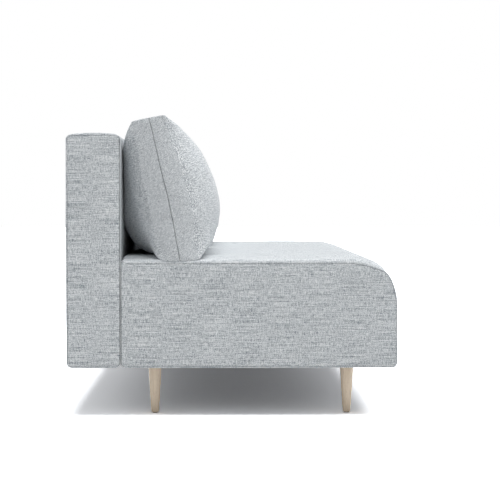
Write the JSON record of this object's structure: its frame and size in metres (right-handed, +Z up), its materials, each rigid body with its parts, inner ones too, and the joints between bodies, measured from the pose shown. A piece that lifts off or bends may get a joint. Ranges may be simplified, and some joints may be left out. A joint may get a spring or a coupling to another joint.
{
  "type": "armless sofa",
  "caption": "Armless sofa with a boxy upholstered seat, a low upright back behind it, loose plump back cushions and turned tapered wooden legs.",
  "frame": {"origin": "centre of the sofa's footprint box, on the floor", "axes": "+X along the length towards the sitter's left, -Y towards the front, +Z up"},
  "size_m": [1.8, 0.95, 0.8617],
  "materials": {
    "cover_fabric": "plain weave with slubs, pale blue-grey",
    "fibre_filling": "white polyester fibre",
    "dust_cloth": "black non-woven cloth",
    "leg_wood": "pale beech, matt lacquer",
    "glide_plastic": "matt",
    "zinc_steel": "zinc plated",
    "frame_timber": "planed softwood",
    "plywood": "bare plywood",
    "hardboard": "brown hardboard",
    "webbing": "woven elastic strap",
    "felt": "needled felt",
    "foam": "open-cell foam"
  },
  "bodies": {
    "sofa": {"seat_cover_band": "cover_fabric", "seat_cover_left_end": "cover_fabric", "seat_cover_right_end": "cover_fabric", "back_cover_band": "cover_fabric", "back_cover_left_end": "cover_fabric", "back_cover_right_end": "cover_fabric", "seat_dust_cloth": "dust_cloth", "back_dust_cloth": "dust_cloth", "front_legs": "leg_wood", "rear_legs": "leg_wood", "leg_glides": "glide_plastic", "leg_studs": "zinc_steel", "leg_nut_plates": "zinc_steel", "unit_bolts": "zinc_steel", "unit_washers": "zinc_steel", "unit_nut_plates": "zinc_steel", "seat_front_rail": "frame_timber", "seat_rear_rail": "frame_timber", "seat_left_rail": "frame_timber", "seat_right_rail": "frame_timber", "seat_cross_rails": "frame_timber", "seat_corner_blocks": "frame_timber", "seat_leg_plates": "plywood", "seat_webbing_across": "webbing", "seat_webbing_along": "webbing", "back_webbing": "webbing", "seat_felt": "felt", "seat_foam_core": "foam", "seat_soft_layer": "fibre_filling", "seat_left_end_pad": "foam", "seat_right_end_pad": "foam", "back_bottom_rail": "frame_timber", "back_base_board": "frame_timber", "back_top_rail": "frame_timber", "back_left_post": "frame_timber", "back_middle_posts": "frame_timber", "back_right_post": "frame_timber", "back_rear_board": "hardboard", "back_front_foam": "foam", "back_rear_pad": "foam", "back_top_pad": "foam", "back_left_end_pad": "foam", "back_right_end_pad": "foam"},
    "left_cushion": {"cushion_left_front_panel": "cover_fabric", "cushion_left_rear_panel": "cover_fabric", "cushion_left_filling": "fibre_filling"},
    "right_cushion": {"cushion_right_front_panel": "cover_fabric", "cushion_right_rear_panel": "cover_fabric", "cushion_right_filling": "fibre_filling"}
  },
  "joints": [
    {"name": "left_cushion_lift", "type": "slide", "parent": "sofa", "child": "left_cushion", "axis": [0, 0, 1], "range_m": [0, 0.42]},
    {"name": "right_cushion_lift", "type": "slide", "parent": "sofa", "child": "right_cushion", "axis": [0, 0, 1], "range_m": [0, 0.42]}
  ]
}
